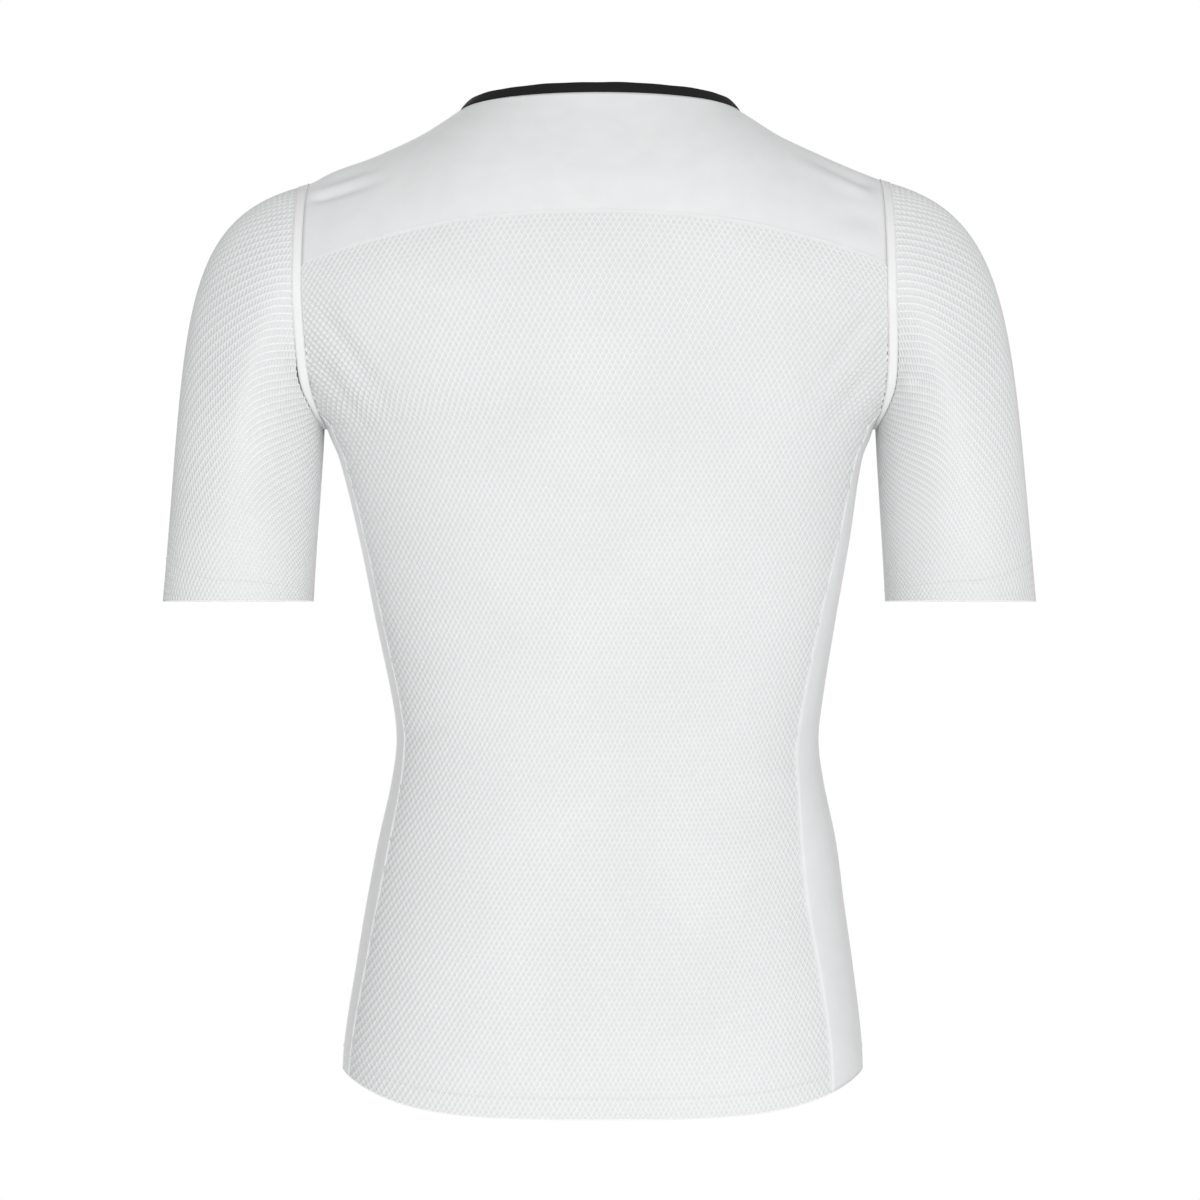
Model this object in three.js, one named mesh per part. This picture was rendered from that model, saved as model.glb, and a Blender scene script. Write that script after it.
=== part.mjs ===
// A short-sleeve base layer, hollow, filled out as if worn.
// Millimetres, +Z up. The front faces -Y and the wearer's left is +X.
// The origin is the middle of the neck, level with the top of the shoulders.
//
// Every piece is a wall of cloth. Its outer face is a grid of points on the garment's form, and
// its inner face is the same grid moved in along the form's normals.

import * as THREE from 'three';

// Cloth and seams
const clothWall = 1.2;
const hemWall = 2.0;
const hemDepth = 13;
const hemStep = 0.8;
const seamGap = 0.3;
const bandSeamGap = 0.15;
const sleeveSeamGap = 0.3;
const seamBandWidth = 6;
const seamBandWidthUnderarm = 2.4;
const seamBandRise = 0.5;
const neckbandHeight = 8;
const neckbandWall = 2.0;

// Body, from the underarm down: half-width, middle line and depths at each height
const bodySections = [
  { z: -660, halfWidth: 173.0, middle: -1.5, back: 112, front: 104 },
  { z: -622, halfWidth: 171.7, middle: -2.0, back: 112, front: 105 },
  { z: -568, halfWidth: 164.4, middle: -3.0, back: 108, front: 104 },
  { z: -529, halfWidth: 158.4, middle: -3.5, back: 104, front: 101 },
  { z: -489, halfWidth: 152.0, middle: -4.7, back: 99, front: 98 },
  { z: -449, halfWidth: 143.4, middle: -5.0, back: 95, front: 96 },
  { z: -422, halfWidth: 140.1, middle: -5.0, back: 94, front: 96 },
  { z: -396, halfWidth: 142.7, middle: -5.0, back: 94, front: 97 },
  { z: -342, halfWidth: 152.7, middle: -3.7, back: 99, front: 101 },
  { z: -289, halfWidth: 162.7, middle: -3.0, back: 105, front: 106 },
  { z: -236, halfWidth: 173.3, middle: -0.5, back: 110, front: 111 },
  { z: -215, halfWidth: 181.0, middle: 0.0, back: 112, front: 112 },
  { z: -130, halfWidth: 190.0, middle: 3.7, back: 114, front: 110 },
];

// Armhole edge of the body, from its lowest point to the shoulder
const armholeEdge = [
  { z: -215, halfWidth: 181.0 },
  { z: -205, halfWidth: 185.0 },
  { z: -190, halfWidth: 188.0 },
  { z: -160, halfWidth: 189.5 },
  { z: -53, halfWidth: 190.0 },
];
const underarmZ = -215;
const armholeWideZ = -130;
const armholeBack = 66;
const armholeFront = 58;
const squareness = 2.35;
const squarenessAtChest = 2.05;

// Top of the shoulder, from the neck out to the armhole
const shoulderLine = [
  { out: 94, z: -3.6 },
  { out: 101, z: -8.3 },
  { out: 117, z: -18.9 },
  { out: 140, z: -29.6 },
  { out: 164, z: -40.2 },
  { out: 193.7, z: -52.0 },
];
const shoulderY = -8;

// Neck edge, an oval seen from above, low in front
const neckHalfWidth = 94;
const neckBackY = 57;
const neckFrontY = -68;
const neckBackRise = 4.6;
const neckFrontDrop = 71.4;
const neckBackSteepness = 55;
const neckFrontSteepness = 65;

// Seams of the body
const yokeSeamZ = -82.5;
const yokeSeamFall = 29.5;
const yokeSeamPower = 2.2;
const cornerZ = -205;
const sideSeams = [
  { z: -660, leftBack: 15, rightBack: 31, front: 22 },
  { z: -590, leftBack: 17, rightBack: 32, front: 22 },
  { z: -490, leftBack: 20, rightBack: 35, front: 22 },
  { z: -422, leftBack: 18, rightBack: 29, front: 20 },
  { z: -330, leftBack: 16, rightBack: 23, front: 18 },
  { z: -215, leftBack: 13, rightBack: 13, front: 13 },
];

// Hem edge
const hemSideZ = -638;
const hemBackDrop = 20.5;
const hemFrontDrop = 4;

// Sleeves
const cuffZ = -329.5;
const cuffMiddle = 240.2;
const cuffHalfWidth = 50;
const cuffHalfDepth = 52;
const cuffHemDepth = 14;
// How the sleeve leaves the seam at its top, its front and back, and under the arm:
// outward, sideways and downward parts of the direction, and the reach of the two bends.
const sleeveLines = {
  top: { out: 0.968, side: 0, down: 0.25, startReach: 87, endReach: 179, flare: 0.093 },
  side: { out: 0.72, side: 0.1, down: 0.69, startReach: 62, endReach: 80, flare: 0.04 },
  under: { out: 0.03, side: 0, down: 1, startReach: 26, endReach: 40, flare: 0.05 },
};

// How finely each piece is divided
const outerColumns = 4;
const neckColumns = 10;
const yokeRows = 6;
const upperBackRows = 5;
const upperFrontRows = 6;
const shoulderFrontRows = 8;
const bodyRows = 12;
const sidePanelColumns = 4;
const sleeveRows = 11;

const deg = Math.PI / 180;
const mix = (a, b, t) => a + (b - a) * t;
const smooth = (a, b, v) => {
  const t = Math.min(1, Math.max(0, (v - a) / (b - a)));
  return t * t * (3 - 2 * t);
};

// Smooth curve through a table's column: each span is a cubic with the slopes of its neighbours.
function read(table, key, column, value) {
  const last = table.length - 1;
  const at = Math.min(Math.max(value, table[0][key]), table[last][key]);
  let i = 0;
  while (i < last - 1 && at > table[i + 1][key]) i += 1;
  const slope = (k) => {
    const lo = table[Math.max(0, k - 1)];
    const hi = table[Math.min(last, k + 1)];
    return (hi[column] - lo[column]) / (hi[key] - lo[key]);
  };
  const span = table[i + 1][key] - table[i][key];
  const t = (at - table[i][key]) / span;
  const a = table[i][column];
  const b = table[i + 1][column];
  return a * (2 * t ** 3 - 3 * t ** 2 + 1) + b * (3 * t ** 2 - 2 * t ** 3)
    + span * (slope(i) * (t ** 3 - 2 * t ** 2 + t) + slope(i + 1) * (t ** 3 - t ** 2));
}

const bezier = (a, b, c, d, t) => (1 - t) ** 3 * a + 3 * (1 - t) ** 2 * t * b
  + 3 * (1 - t) * t * t * c + t ** 3 * d;

// ---- The body's form. "column" runs from -1 at the right armhole to 1 at the left. ----

const middleAt = (z) => read(bodySections, 'z', 'middle', z);
const squarenessAt = (z) => mix(squareness, squarenessAtChest, smooth(-230, armholeWideZ, z));

// Half-depth of the armhole at a height, from the underarm to its widest place
function armholeDepth(z, widest) {
  const fall = Math.min(1, Math.max(0, (armholeWideZ - z) / (armholeWideZ - underarmZ)));
  return widest * Math.sqrt(1 - fall * fall);
}

// Half-width of the body's edge, and of the closed ring that the section is part of
function sectionAt(z, back) {
  const power = squarenessAt(z);
  const depth = read(bodySections, 'z', back ? 'back' : 'front', z);
  if (z <= underarmZ) {
    const halfWidth = read(bodySections, 'z', 'halfWidth', z);
    return { edge: halfWidth, ring: halfWidth, depth, power };
  }
  const edge = read(armholeEdge, 'z', 'halfWidth', z);
  const cut = armholeDepth(z, back ? armholeBack : armholeFront) / depth;
  return { edge, ring: edge / (1 - cut ** power) ** (1 / power), depth, power };
}

// Point on the body at or below the armhole's widest height
function ringPoint(column, z, back) {
  const s = sectionAt(z, back);
  const out = Math.min(1, Math.abs(column) * s.edge / s.ring);
  const depth = s.depth * (1 - out ** s.power) ** (1 / s.power);
  return new THREE.Vector3(middleAt(z) + column * s.edge, back ? depth : -depth, z);
}

const neckEdgeColumn = neckHalfWidth / read(armholeEdge, 'z', 'halfWidth', armholeWideZ);

// Neck edge at an angle round the neck: 0 at the left shoulder, 90 at the back, 270 in front
function neckPoint(angle) {
  const side = Math.sin(angle);
  const y = side > 0 ? (neckBackY - shoulderY) * side : (shoulderY - neckFrontY) * side;
  const drop = side > 0 ? -neckBackRise * side : neckFrontDrop * (-side) ** 1.5;
  return new THREE.Vector3(neckHalfWidth * Math.cos(angle), shoulderY + y, -3.6 - drop);
}

// Upper body: each column bends from upright at the armhole's widest height to the shoulder
// line, which it reaches level, or to the neck edge, which it reaches more steeply.
function upperPoint(column, t, back) {
  const start = ringPoint(column, armholeWideZ, back);
  const side = back ? 1 : -1;
  const out = Math.abs(column);
  let end;
  let steep = 0;
  if (out >= neckEdgeColumn) {
    const along = (out - neckEdgeColumn) / (1 - neckEdgeColumn);
    const x = mix(neckHalfWidth, 190 + 3.7 * Math.sign(column), along) * Math.sign(column);
    end = new THREE.Vector3(x, shoulderY, read(shoulderLine, 'out', 'z', Math.abs(x)));
  } else {
    const angle = side * Math.acos(column / neckEdgeColumn);
    end = neckPoint(angle);
    steep = (back ? neckBackSteepness : neckFrontSteepness) * Math.abs(Math.sin(angle)) * deg;
  }
  const rise = end.z - start.z;
  const run = Math.abs(start.y - end.y);
  const reach = 0.5 * Math.hypot(rise, run) * 0.75;
  const y = bezier(start.y, start.y, end.y + side * reach * Math.cos(steep), end.y, t);
  const z = bezier(start.z, start.z + 0.5 * rise, end.z - reach * Math.sin(steep), end.z, t);
  return new THREE.Vector3(mix(start.x, end.x, t * t * (3 - 2 * t)), y, z);
}

// Place along a column of the upper body where it crosses a height
function upperAtHeight(column, z, back) {
  let low = 0;
  let high = 1;
  for (let i = 0; i < 40; i += 1) {
    const middle = (low + high) / 2;
    if (upperPoint(column, middle, back).z < z) low = middle;
    else high = middle;
  }
  return (low + high) / 2;
}

const bodyPoint = (column, z, back) => (z <= armholeWideZ
  ? ringPoint(column, z, back)
  : upperPoint(column, upperAtHeight(column, z, back), back));

const yokeSeamAt = (column) => yokeSeamZ - yokeSeamFall * Math.abs(column) ** yokeSeamPower;

function hemAt(column, back) {
  const away = Math.sqrt(Math.max(0, 1 - column * column));
  return hemSideZ - (back ? hemBackDrop : hemFrontDrop) * smooth(0.08, 0.98, away);
}

// Column of a side seam at a height. It meets the armhole's edge at the corner height.
function sideSeamColumn(z, back, left) {
  const name = back ? (left ? 'leftBack' : 'rightBack') : 'front';
  const below = Math.cos(read(sideSeams, 'z', name, Math.min(z, underarmZ)) * deg);
  return z <= underarmZ ? below : mix(below, 1, (z - underarmZ) / (cornerZ - underarmZ));
}

// ---- Walls of cloth ----

// Normals of a grid from its own points, smooth across the grid's inside
function gridNormals(at, us, vs, closed) {
  const step = 1e-3;
  return us.map((u) => vs.map((v) => {
    const lo = (a) => (closed ? a - step : Math.max(0, a - step));
    const hi = (a) => (closed ? a + step : Math.min(1, a + step));
    const du = at(hi(u), v).sub(at(lo(u), v));
    const dv = at(u, Math.min(1, v + step)).sub(at(u, Math.max(0, v - step)));
    return du.cross(dv).normalize();
  }));
}

// Pull the edges of an open grid back by half a seam gap, towards the next point in.
function pullBack(grid, ends, sides, half = seamGap / 2) {
  const pull = (edge, inner) => edge.add(inner.clone().sub(edge).setLength(half));
  const lastU = grid.length - 1;
  const lastV = grid[0].length - 1;
  if (sides) {
    for (let j = 0; j <= lastV; j += 1) {
      pull(grid[0][j], grid[1][j]);
      pull(grid[lastU][j], grid[lastU - 1][j]);
    }
  }
  for (let i = 0; i <= lastU; i += 1) {
    if (ends.start) pull(grid[i][0], grid[i][1]);
    if (ends.end) pull(grid[i][lastV], grid[i][lastV - 1]);
  }
}

// Closed solid between an outer grid and the same grid moved in along its normals
function wallGeometry(outer, normals, wallAt, closed) {
  const nu = outer.length;
  const nv = outer[0].length;
  const positions = [];
  const triangles = [];
  for (let face = 0; face < 2; face += 1) {
    for (let i = 0; i < nu; i += 1) {
      for (let j = 0; j < nv; j += 1) {
        const p = outer[i][j].clone().addScaledVector(normals[i][j], -face * wallAt(i, j));
        positions.push(p.x, p.y, p.z);
      }
    }
  }
  const id = (face, i, j) => face * nu * nv + (i % nu) * nv + j;
  const quad = (a, b, c, d) => triangles.push(a, b, c, a, c, d);
  const spans = closed ? nu : nu - 1;
  for (let i = 0; i < spans; i += 1) {
    for (let j = 0; j < nv - 1; j += 1) {
      quad(id(0, i, j), id(0, i + 1, j), id(0, i + 1, j + 1), id(0, i, j + 1));
      quad(id(1, i, j), id(1, i, j + 1), id(1, i + 1, j + 1), id(1, i + 1, j));
    }
    quad(id(0, i, 0), id(1, i, 0), id(1, i + 1, 0), id(0, i + 1, 0));
    quad(id(0, i + 1, nv - 1), id(1, i + 1, nv - 1), id(1, i, nv - 1), id(0, i, nv - 1));
  }
  if (!closed) {
    for (let j = 0; j < nv - 1; j += 1) {
      quad(id(0, 0, j + 1), id(1, 0, j + 1), id(1, 0, j), id(0, 0, j));
      quad(id(0, nu - 1, j), id(1, nu - 1, j), id(1, nu - 1, j + 1), id(0, nu - 1, j + 1));
    }
  }
  return facingOut(positions, triangles);
}

// Geometry whose triangles face out, whichever way the grid ran
function facingOut(positions, triangles) {
  const at = (k) => new THREE.Vector3().fromArray(positions, 3 * triangles[k]);
  let volume = 0;
  for (let k = 0; k < triangles.length; k += 3) {
    volume += at(k).dot(at(k + 1).cross(at(k + 2)));
  }
  if (volume < 0) triangles.reverse();
  const geometry = new THREE.BufferGeometry();
  geometry.setAttribute('position', new THREE.Float32BufferAttribute(positions, 3));
  geometry.setIndex(triangles);
  geometry.computeVertexNormals();
  return geometry;
}

const even = (count) => Array.from({ length: count + 1 }, (_, i) => i / count);

// Columns shared by the yoke, back and front: even outside the neck, close near its corners
const columns = (() => {
  const inside = even(neckColumns).map((t) => -neckEdgeColumn * Math.cos(t * Math.PI));
  const outside = even(outerColumns).slice(1).map((t) => mix(neckEdgeColumn, 1, t));
  return [...outside.map((c) => -c).reverse(), ...inside, ...outside];
})();

// Rows of the body from the hem to the corner, with two close rows for the hem's inner edge
const bodyHeight = cornerZ - hemSideZ;
const hemRow = hemDepth / bodyHeight;
const lowerRows = [0, hemRow, hemRow + hemStep / bodyHeight,
  ...even(bodyRows).slice(1).map((t) => mix(hemRow, 1, t))];
const hemWallAt = (i, j) => (j < 2 ? hemWall : clothWall);

// A body panel's outer grid, with the normals of the form under it
function panelGrid(at, us, vs, ends) {
  const grid = us.map((u) => vs.map((v) => at(u, v)));
  const normals = gridNormals(at, us, vs, false);
  const sample = grid[Math.floor(us.length / 2)][Math.floor(vs.length / 2)];
  const normal = normals[Math.floor(us.length / 2)][Math.floor(vs.length / 2)];
  if (normal.x * sample.x + normal.y * sample.y < 0) {
    normals.forEach((row) => row.forEach((n) => n.negate()));
  }
  pullBack(grid, ends, true);
  return { grid, normals };
}

// Lower body at a column share from -1 to 1 between the side seams, from the hem to the corner
function lowerPanelPoint(share, v, back) {
  const left = share > 0;
  let z = mix(hemAt(share, back), cornerZ, v);
  const column = share * sideSeamColumn(z, back, left);
  z = mix(hemAt(column, back), cornerZ, v);
  return ringPoint(column, z, back);
}

const columnShare = (u) => 2 * u - 1;
const columnPlaces = columns.map((c) => (c + 1) / 2);

// Back panel: hem to corner in the first half of v, corner to yoke seam in the second
function backPoint(u, v) {
  const column = columnShare(u);
  if (v <= 0.5) return lowerPanelPoint(column, 2 * v, true);
  return bodyPoint(column, mix(cornerZ, yokeSeamAt(column), 2 * v - 1), true);
}

// Yoke: from its lower seam to the shoulder line and the neck edge
function yokePoint(u, v) {
  const column = columnShare(u);
  return upperPoint(column, mix(upperAtHeight(column, yokeSeamAt(column), true), 1, v), true);
}

// Front panel: thirds of v are hem to corner, corner to chest, chest to shoulder and neck
function frontPoint(u, v) {
  const column = columnShare(u);
  if (v <= 1 / 3) return lowerPanelPoint(column, 3 * v, false);
  if (v <= 2 / 3) return ringPoint(column, mix(cornerZ, armholeWideZ, 3 * v - 1), false);
  return upperPoint(column, 3 * v - 2, false);
}

// Side panel: u runs from the back seam to the front seam
function sidePanelPoint(left) {
  const side = left ? 1 : -1;
  return (u, v) => {
    const back = u < 0.5;
    const share = Math.abs(1 - 2 * u);
    const seam = lowerPanelPoint(side, v, back);
    const y = share * Math.abs(seam.y);
    const topDepth = armholeDepth(cornerZ, back ? armholeBack : armholeFront);
    const widest = back ? armholeBack : armholeFront;
    const topZ = armholeWideZ
      - (armholeWideZ - underarmZ) * Math.sqrt(1 - (share * topDepth / widest) ** 2);
    const hem = sectionAt(hemSideZ, back);
    const hemSeamY = Math.abs(lowerPanelPoint(side, 0, back).y);
    const bottomAt = (part) => hemAt(
      (1 - (part * hemSeamY / hem.depth) ** hem.power) ** (1 / hem.power), back);
    const meet = seam.z - mix(bottomAt(1), cornerZ, v);
    const z = mix(bottomAt(share), topZ, v) + share * meet;
    const s = sectionAt(z, back);
    const out = s.ring * (1 - Math.min(1, y / s.depth) ** s.power) ** (1 / s.power);
    return new THREE.Vector3(middleAt(z) + side * out, back ? y : -y, z);
  };
}

// ---- Armhole, seam band and sleeve ----

const upperBackShare = even(upperBackRows);
const yokeShare = even(yokeRows);

// The body's edge round the armhole, from the shoulder down the back, under the arm and up
// the front. "turn" is its angle: 0 at the shoulder, 180 under the arm.
function armholeLoop(left) {
  const edge = left ? 1 : 0;
  const side = sidePanelPoint(left);
  const points = [];
  for (const t of [...yokeShare].reverse()) points.push(yokePoint(edge, t));
  for (const t of [...upperBackShare].reverse().slice(1)) points.push(backPoint(edge, 0.5 + t / 2));
  for (const t of even(sidePanelColumns).slice(1)) points.push(side(t, 1));
  for (const t of even(upperFrontRows).slice(1)) points.push(frontPoint(edge, 1 / 3 + t / 3));
  for (const t of even(shoulderFrontRows).slice(1, -1)) {
    points.push(frontPoint(edge, 2 / 3 + t / 3));
  }
  return points.map((point) => {
    const height = point.z - armholeWideZ;
    const across = point.y / (point.y > 0 ? armholeBack : armholeFront);
    const reach = height > 0 ? 77 : armholeWideZ - underarmZ;
    const shift = height > 0 ? shoulderY * smooth(0, 1, height / reach) : 0;
    const leaned = across - shift / (point.y > 0 ? armholeBack : armholeFront);
    return { point, turn: Math.atan2(leaned, height / reach) };
  });
}

// How the sleeve's line starts and ends at a turn round the armhole
function sleeveLineAt(turn) {
  const c = Math.cos(turn);
  const weights = { top: c > 0 ? c * c : 0, under: c < 0 ? c * c : 0, side: 1 - c * c };
  const line = {};
  for (const key of Object.keys(sleeveLines.top)) {
    line[key] = 0;
    for (const name of Object.keys(weights)) line[key] += weights[name] * sleeveLines[name][key];
  }
  line.side *= Math.sign(Math.sin(turn));
  return line;
}

const bandWidthAt = (z) => mix(seamBandWidthUnderarm, seamBandWidth, smooth(underarmZ, -185, z));

// Where the seam band ends and the sleeve begins
function bandCross(entry, side) {
  const line = sleeveLineAt(entry.turn);
  const slope = Math.max(0, Math.cos(entry.turn)) * 0.3;
  const width = bandWidthAt(entry.point.z);
  return new THREE.Vector3(side, 0, -slope).multiplyScalar(width)
    .add(new THREE.Vector3(0, line.side * width * 0.1, 0));
}

// Sleeve point: s round the loop, v from the seam band to the cuff
function sleevePoint(loop, side, i, v) {
  const entry = loop[((i % loop.length) + loop.length) % loop.length];
  const line = sleeveLineAt(entry.turn);
  const start = entry.point.clone().add(bandCross(entry, side));
  const end = new THREE.Vector3(
    side * (cuffMiddle + cuffHalfWidth * Math.cos(entry.turn)) + 0.4,
    cuffHalfDepth * Math.sin(entry.turn),
    cuffZ,
  );
  const leave = new THREE.Vector3(side * line.out, line.side, -line.down)
    .setLength(line.startReach);
  const arrive = new THREE.Vector3(-side * line.flare, 0, 1).multiplyScalar(line.endReach);
  const b = start.clone().add(leave);
  const c = end.clone().add(arrive);
  return new THREE.Vector3(
    bezier(start.x, b.x, c.x, end.x, v),
    bezier(start.y, b.y, c.y, end.y, v),
    bezier(start.z, b.z, c.z, end.z, v),
  );
}

// Normals of a grid that closes on itself, from each point's neighbours, facing out
function loopNormals(grid) {
  const n = grid.length;
  const last = grid[0].length - 1;
  const middle = new THREE.Vector3();
  grid.forEach((row) => row.forEach((p) => middle.add(p)));
  middle.divideScalar(n * (last + 1));
  const normals = grid.map((row, i) => row.map((p, j) => {
    const du = grid[(i + 1) % n][j].clone().sub(grid[(i + n - 1) % n][j]);
    const dv = row[Math.min(last, j + 1)].clone().sub(row[Math.max(0, j - 1)]);
    return du.cross(dv).normalize();
  }));
  let facing = 0;
  grid.forEach((row, i) => row.forEach((p, j) => {
    facing += normals[i][j].dot(p.clone().sub(middle));
  }));
  if (facing < 0) normals.forEach((row) => row.forEach((m) => m.negate()));
  return normals;
}

const bandGrid = (loop, side) => loop.map((entry) => (
  [entry.point.clone(), entry.point.clone().add(bandCross(entry, side))]));

function sleeveGeometry(loop, side) {
  const cuffRow = 1 - cuffHemDepth / 250;
  const vs = [...even(sleeveRows).map((t) => t * cuffRow), cuffRow + hemStep / 250, 1];
  const grid = loop.map((_, i) => vs.map((v) => sleevePoint(loop, side, i, v)));
  const normals = loopNormals(grid);
  const bandNormals = loopNormals(bandGrid(loop, side));
  normals.forEach((row, i) => row[0].copy(bandNormals[i][1]));
  pullBack(grid, { start: true, end: false }, false, sleeveSeamGap);
  return wallGeometry(grid, normals, (i, j) => (j > sleeveRows ? hemWall : clothWall), true);
}

function seamBandGeometry(loop, side) {
  const grid = bandGrid(loop, side);
  const normals = loopNormals(grid);
  pullBack(grid, { start: true, end: true }, false, bandSeamGap);
  grid.forEach((row, i) => row.forEach((p, j) => p.addScaledVector(normals[i][j], seamBandRise)));
  return wallGeometry(grid, normals, () => clothWall + seamBandRise, true);
}

// ---- Neckband ----

// The band stands on the neck edge: leaning in at the shoulders, more upright behind.
function neckbandGeometry() {
  const count = 2 * neckColumns;
  const base = Array.from({ length: count }, (_, i) => i * 2 * Math.PI / count);
  const grid = base.map((angle) => {
    const side = Math.sin(angle);
    const lean = (side > 0 ? mix(45, 68, side) : mix(45, 60, -side)) * deg;
    const edge = neckPoint(angle);
    const inward = new THREE.Vector3(-Math.cos(angle), -side * 1.2, 0).normalize();
    const rise = inward.multiplyScalar(Math.cos(lean)).setZ(Math.sin(lean));
    return [seamGap, neckbandHeight].map((up) => edge.clone().addScaledVector(rise, up));
  });
  return wallGeometry(grid, loopNormals(grid), () => neckbandWall, true);
}

// ---- The garment ----

const meshKnit = new THREE.MeshStandardMaterial({ color: 0xf2f3f3, roughness: 0.85, metalness: 0 });
const plainKnit = new THREE.MeshStandardMaterial({ color: 0xeceded, roughness: 0.7, metalness: 0 });
const bandKnit = new THREE.MeshStandardMaterial({ color: 0x141414, roughness: 0.8, metalness: 0 });
const seamTape = new THREE.MeshStandardMaterial({ color: 0xf4f4f4, roughness: 0.75, metalness: 0 });

const garment = new THREE.Group();

function sew(name, geometry, material) {
  const mesh = new THREE.Mesh(geometry, material);
  mesh.name = name;
  garment.add(mesh);
}

function bodyPiece(name, at, us, vs, ends, material) {
  const { grid, normals } = panelGrid(at, us, vs, ends);
  const hemmed = ends.start === false;
  sew(name, wallGeometry(grid, normals, hemmed ? hemWallAt : () => clothWall, false), material);
}

const upperBack = upperBackShare.slice(1).map((t) => 0.5 + t / 2);
const upperFront = [...even(upperFrontRows).slice(1).map((t) => (1 + t) / 3),
  ...even(shoulderFrontRows).slice(1).map((t) => (2 + t) / 3)];

bodyPiece('back_panel', backPoint, columnPlaces, [...lowerRows.map((t) => t / 2), ...upperBack],
  { start: false, end: true }, meshKnit);
bodyPiece('front_panel', frontPoint, columnPlaces, [...lowerRows.map((t) => t / 3), ...upperFront],
  { start: false, end: true }, meshKnit);
bodyPiece('back_yoke', yokePoint, columnPlaces, yokeShare, { start: true, end: true }, plainKnit);

for (const [name, left] of [['left', true], ['right', false]]) {
  const side = left ? 1 : -1;
  const loop = armholeLoop(left);
  bodyPiece(`side_panel_${name}`, sidePanelPoint(left), even(sidePanelColumns), lowerRows,
    { start: false, end: true }, plainKnit);
  sew(`sleeve_${name}`, sleeveGeometry(loop, side), meshKnit);
  sew(`armhole_seam_${name}`, seamBandGeometry(loop, side), seamTape);
}

sew('neckband', neckbandGeometry(), bandKnit);

export default garment;
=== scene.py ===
import bpy
import numpy as np
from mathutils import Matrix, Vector


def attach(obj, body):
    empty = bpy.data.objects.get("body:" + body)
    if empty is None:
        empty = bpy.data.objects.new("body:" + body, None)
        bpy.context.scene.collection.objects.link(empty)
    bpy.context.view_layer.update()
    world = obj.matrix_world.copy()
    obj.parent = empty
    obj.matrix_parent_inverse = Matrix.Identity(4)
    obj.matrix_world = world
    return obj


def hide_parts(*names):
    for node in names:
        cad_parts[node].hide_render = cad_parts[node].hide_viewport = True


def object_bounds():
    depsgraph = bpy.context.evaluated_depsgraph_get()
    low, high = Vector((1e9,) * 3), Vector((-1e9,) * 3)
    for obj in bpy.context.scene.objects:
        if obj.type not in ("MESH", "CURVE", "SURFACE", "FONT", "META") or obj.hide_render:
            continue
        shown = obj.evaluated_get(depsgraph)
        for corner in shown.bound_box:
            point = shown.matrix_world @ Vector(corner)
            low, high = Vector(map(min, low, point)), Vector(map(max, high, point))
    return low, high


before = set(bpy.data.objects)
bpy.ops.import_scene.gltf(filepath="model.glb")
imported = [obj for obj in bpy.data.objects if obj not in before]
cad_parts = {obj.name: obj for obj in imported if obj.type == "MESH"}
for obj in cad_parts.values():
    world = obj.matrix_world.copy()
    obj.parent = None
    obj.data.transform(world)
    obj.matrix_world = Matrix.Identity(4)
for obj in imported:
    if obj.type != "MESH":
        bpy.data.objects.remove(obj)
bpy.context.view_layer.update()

mm = 0.001  # the sizes below are millimetres; meshes are made in metres

# the garment's form, in the same sizes as its construction
form = {
    "bodyZ": [-660, -622, -568, -529, -489, -449, -422, -396, -342, -289, -236, -215, -130],
    "halfWidth": [173, 171.7, 164.4, 158.4, 152, 143.4, 140.1, 142.7, 152.7, 162.7, 173.3, 181, 190],
    "middle": [-1.5, -2, -3, -3.5, -4.7, -5, -5, -5, -3.7, -3, -0.5, 0, 3.7],
    "back": [112, 112, 108, 104, 99, 95, 94, 94, 99, 105, 110, 112, 114],
    "front": [104, 105, 104, 101, 98, 96, 96, 97, 101, 106, 111, 112, 110],
    "edgeZ": [-215, -205, -190, -160, -53],
    "edge": [181, 185, 188, 189.5, 190],
    "seamZ": [-660, -590, -490, -422, -330, -215],
    "seamLeftBack": [15, 17, 20, 18, 16, 13],
    "seamRightBack": [31, 32, 35, 29, 23, 13],
    "seamFront": [22, 22, 22, 20, 18, 13],
    "shoulderOut": [94, 101, 117, 140, 164, 193.7],
    "shoulderZ": [-3.6, -8.3, -18.9, -29.6, -40.2, -52],
    "underarmZ": -215, "wideZ": -130, "cornerZ": -205, "shoulderY": -8,
    "armholeBack": 66, "armholeFront": 58,
    "neckHalf": 94, "neckBackY": 57, "neckFrontY": -68, "neckRise": 4.6, "neckDrop": 71.4,
    "neckSlopeBack": 55, "neckSlopeFront": 65, "upperReach": 0.375, "upperRise": 0.5,
    "armholeDrop": 85, "armholeRise": 77,  # from the armhole's widest height, down and up
    "roundFromZ": -230, "lowPower": 2.35, "highPower": 2.05,  # the ring grows rounder up the chest
    "yokeZ": -82.5, "yokeFall": 29.5, "yokePower": 2.2,
    "hemSideZ": -638, "hemDropBack": 20.5, "hemDropFront": 4,
}
rowShare = {  # where a panel's rows pass the underarm corner and the widest height
    "backCorner": 0.78, "frontCorner": 0.66, "frontWide": 0.78, "chest": 0.12, "upper": 0.22,
}
neckColumn = form["neckHalf"] / form["halfWidth"][-1]


def mix(a, b, t):
    return a + (b - a) * t


def smooth(a, b, v):
    # 0 before a, 1 after b, and 3t^2 - 2t^3 between them
    t = np.clip((v - a) / (b - a), 0, 1)
    return t * t * (3 - 2 * t)


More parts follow.
